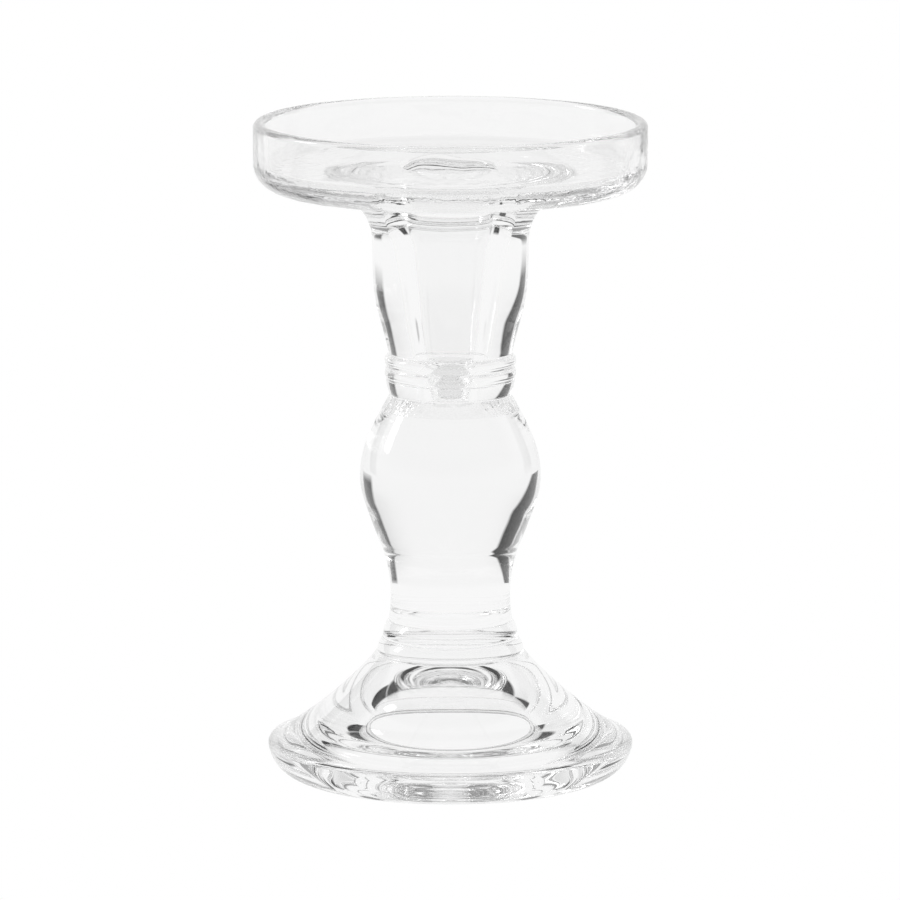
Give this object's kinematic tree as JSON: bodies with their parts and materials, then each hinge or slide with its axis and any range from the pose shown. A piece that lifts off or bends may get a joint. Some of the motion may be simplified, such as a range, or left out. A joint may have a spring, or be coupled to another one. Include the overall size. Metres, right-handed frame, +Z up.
{
  "type": "glass candlestick",
  "caption": "Clear glass candlestick on a spreading foot, with a baluster stem, a tapered candle socket and a shallow dish that takes a pillar candle.",
  "frame": {"origin": "centre of the plane that the foot stands on", "axes": "+Z up the turning axis from the foot to the dish; the form is the same all the way round, so +X and +Y are free"},
  "size_m": [0.098, 0.098, 0.165],
  "materials": {
    "clear_glass": "clear soda-lime glass, fire polished"
  },
  "bodies": {
    "root": {"foot": "clear_glass", "foot_rings": "clear_glass", "baluster_stem": "clear_glass", "collar": "clear_glass", "candle_cup": "clear_glass", "dish": "clear_glass"}
  },
  "joints": []
}
